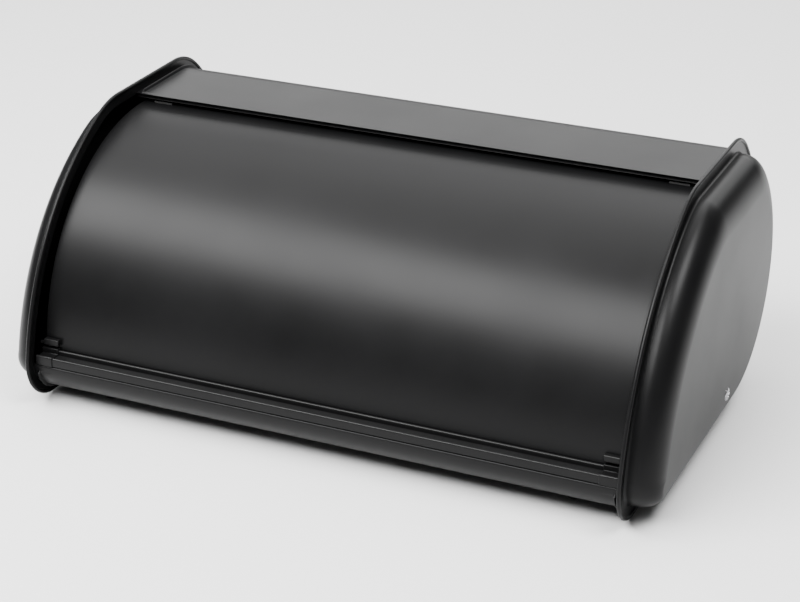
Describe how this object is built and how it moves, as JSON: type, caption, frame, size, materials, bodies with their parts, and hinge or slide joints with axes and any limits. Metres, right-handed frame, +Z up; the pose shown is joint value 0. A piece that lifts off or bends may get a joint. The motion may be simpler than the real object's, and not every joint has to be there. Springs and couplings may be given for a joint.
{
  "type": "roll-top bread bin",
  "caption": "Roll-top bread bin: wrapped black sheet-steel body between domed end panels, with a curved lid and full-width handle rail that swings back inside on low side pivots.",
  "frame": {"origin": "on the worktop, under the middle of the bin's bounding box", "axes": "+X across the bin's width, +Y towards its back, +Z up"},
  "size_m": [0.4536, 0.2727, 0.1794],
  "materials": {
    "black_steel": "satin black powder coat",
    "rail_plastic": "fine matt grain",
    "bush_plastic": "smooth matt",
    "zinc_steel": "bright zinc plate",
    "foot_rubber": "matt"
  },
  "bodies": {
    "case": {"body_shell": "black_steel", "end_panel_left": "black_steel", "end_panel_right": "black_steel", "pivot_screw_left": "zinc_steel", "pivot_screw_right": "zinc_steel", "pivot_bush_left": "bush_plastic", "pivot_bush_right": "bush_plastic", "pivot_washer_left": "zinc_steel", "pivot_washer_right": "zinc_steel", "pivot_nut_left": "zinc_steel", "pivot_nut_right": "zinc_steel", "closing_buffer_left": "foot_rubber", "closing_buffer_right": "foot_rubber", "foot_front_left": "foot_rubber", "foot_front_right": "foot_rubber", "foot_back_left": "foot_rubber", "foot_back_right": "foot_rubber"},
    "lid": {"lid_panel": "black_steel", "lid_arm_left": "black_steel", "lid_arm_right": "black_steel", "handle_rail": "rail_plastic", "rail_cap_left": "rail_plastic", "rail_cap_right": "rail_plastic", "rail_screws": "zinc_steel", "opening_buffer_left": "foot_rubber", "opening_buffer_right": "foot_rubber"}
  },
  "joints": [
    {"name": "lid_hinge", "type": "hinge", "parent": "case", "child": "lid", "pos_m": [0, 0.02, 0.0275], "axis": [-1, 0, 0], "range_deg": [0, 46.5]}
  ]
}
